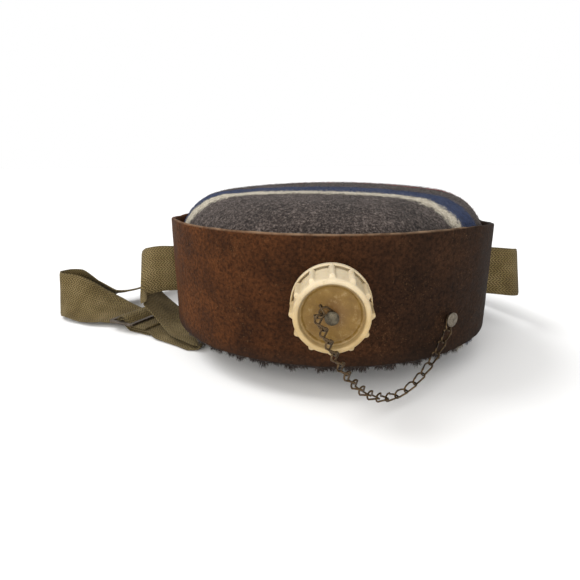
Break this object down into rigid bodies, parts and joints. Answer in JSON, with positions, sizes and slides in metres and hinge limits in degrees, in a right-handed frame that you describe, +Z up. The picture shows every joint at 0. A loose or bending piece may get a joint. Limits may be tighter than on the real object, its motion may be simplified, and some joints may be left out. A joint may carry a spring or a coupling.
{
  "type": "canteen",
  "caption": "Round blanket canteen: wool-covered steel flask in a leather band, ribbed screw cap on a keeper chain, webbing sling with a slide.",
  "frame": {"origin": "centre of the small flat that the back cover rests on", "axes": "+Z up through the two dished faces; -Y along the neck towards the cap; +X completes a right-handed frame"},
  "size_m": [0.3983, 0.3798, 0.117],
  "materials": {
    "flask_steel": "tinned sheet steel, dull inside",
    "wool_cloth": "coarse felted wool blanket with woven stripes",
    "neck_brass": "dull tinned brass",
    "band_leather": "old dark brown harness leather, scuffed at the edges",
    "rivet_steel": "worn rivet metal with brown stain",
    "webbing": "olive khaki cotton webbing, soiled",
    "slide_steel": "dark worn lacquer over steel",
    "cap_plastic": "aged ivory plastic, worn smooth and stained",
    "gasket_rubber": "black sheet rubber",
    "chain_brass": "dark tarnished brass"
  },
  "bodies": {
    "canteen": {"flask_front_half": "flask_steel", "flask_back_half": "flask_steel", "wool_front_cover": "wool_cloth", "wool_back_cover": "wool_cloth", "neck_tube": "neck_brass", "leather_band": "band_leather", "chain_rivet": "rivet_steel", "chain_rivet_burr": "rivet_steel", "band_joint_rivets": "rivet_steel", "band_joint_burrs": "rivet_steel", "shoulder_strap": "webbing", "strap_slide": "slide_steel"},
    "cap_stud": {"cap_stud": "chain_brass", "cap_stud_burr": "chain_brass"},
    "cap": {"cap_shell": "cap_plastic", "cap_gasket": "gasket_rubber"},
    "chain_link_01": {"chain_link_01": "chain_brass"},
    "chain_links_02_04": {"chain_link_02": "chain_brass", "chain_link_03": "chain_brass", "chain_link_04": "chain_brass"},
    "chain_links_05_07": {"chain_link_05": "chain_brass", "chain_link_06": "chain_brass", "chain_link_07": "chain_brass"},
    "chain_links_08_10": {"chain_link_08": "chain_brass", "chain_link_09": "chain_brass", "chain_link_10": "chain_brass"},
    "chain_links_11_13": {"chain_link_11": "chain_brass", "chain_link_12": "chain_brass", "chain_link_13": "chain_brass"},
    "chain_links_14_16": {"chain_link_14": "chain_brass", "chain_link_15": "chain_brass", "chain_link_16": "chain_brass"},
    "chain_links_17_19": {"chain_link_17": "chain_brass", "chain_link_18": "chain_brass", "chain_link_19": "chain_brass"},
    "chain_link_20": {"chain_link_20": "chain_brass"},
    "chain_end_ring": {"chain_end_ring": "chain_brass"}
  },
  "joints": [
    {"name": "cap_lift", "type": "slide", "parent": "canteen", "child": "cap_stud", "axis": [0, -1, 0], "range_m": [0, 0.0119]},
    {"name": "cap_turn", "type": "hinge", "parent": "cap_stud", "child": "cap", "pos_m": [0, -0.14, 0.063], "axis": [0, -1, 0], "range_deg": [0, 1071]},
    {"name": "link_01_swing", "type": "hinge", "parent": "canteen", "child": "chain_link_01", "pos_m": [0.07107, -0.0957, 0.0435], "axis": [0, 0, 1], "range_deg": [0, 4.83]},
    {"name": "chain_links_02_04_swing", "type": "hinge", "parent": "chain_link_01", "child": "chain_links_02_04", "pos_m": [0.07001, -0.09892, 0.03727], "axis": [-0.6421, 0.7666, 0], "range_deg": [0, 8.16]},
    {"name": "chain_links_05_07_swing", "type": "hinge", "parent": "chain_links_02_04", "child": "chain_links_05_07", "pos_m": [0.05827, -0.10875, 0.01966], "axis": [-0.6421, 0.7666, 0], "range_deg": [-6.52, 0]},
    {"name": "chain_links_08_10_swing", "type": "hinge", "parent": "chain_links_05_07", "child": "chain_links_08_10", "pos_m": [0.04234, -0.1221, 0.00944], "axis": [-0.6421, 0.7666, 0], "range_deg": [-4.43, 0]},
    {"name": "chain_links_11_13_swing", "type": "hinge", "parent": "chain_links_08_10", "child": "chain_links_11_13", "pos_m": [0.02487, -0.13673, 0.01288], "axis": [-0.6421, 0.7666, 0], "range_deg": [-2.48, 0]},
    {"name": "chain_links_14_16_swing", "type": "hinge", "parent": "chain_links_11_13", "child": "chain_links_14_16", "pos_m": [0.01095, -0.14839, 0.02743], "axis": [-0.6421, 0.7666, 0], "range_deg": [-1.06, 0]},
    {"name": "chain_links_17_19_swing", "type": "hinge", "parent": "chain_links_14_16", "child": "chain_links_17_19", "pos_m": [0.00085, -0.15686, 0.04671], "axis": [-0.6421, 0.7666, 0], "range_deg": [0, 1.65]},
    {"name": "end_ring_swing", "type": "hinge", "parent": "cap_stud", "child": "chain_end_ring", "pos_m": [0, -0.1501, 0.063], "axis": [0, -1, 0], "range_deg": [0, 3.06]},
    {"name": "link_20_swing", "type": "hinge", "parent": "chain_end_ring", "child": "chain_link_20", "pos_m": [-0.00503, -0.15586, 0.06864], "axis": [-0.6421, 0.7666, 0], "range_deg": [-19.25, 0]}
  ],
  "couplings": [
    {"joint": "cap_turn", "follows": "cap_lift", "rad_per_m": 1570.8},
    {"joint": "link_01_swing", "follows": "cap_lift", "rad_per_m": 6.9472},
    {"joint": "chain_links_02_04_swing", "follows": "cap_lift", "rad_per_m": 11.726},
    {"joint": "chain_links_05_07_swing", "follows": "cap_lift", "rad_per_m": -9.3742},
    {"joint": "chain_links_08_10_swing", "follows": "cap_lift", "rad_per_m": -6.3679},
    {"joint": "chain_links_11_13_swing", "follows": "cap_lift", "rad_per_m": -3.5624},
    {"joint": "chain_links_14_16_swing", "follows": "cap_lift", "rad_per_m": -1.5288},
    {"joint": "chain_links_17_19_swing", "follows": "cap_lift", "rad_per_m": 2.3698},
    {"joint": "end_ring_swing", "follows": "cap_lift", "rad_per_m": 4.4},
    {"joint": "link_20_swing", "follows": "cap_lift", "rad_per_m": -27.683}
  ]
}
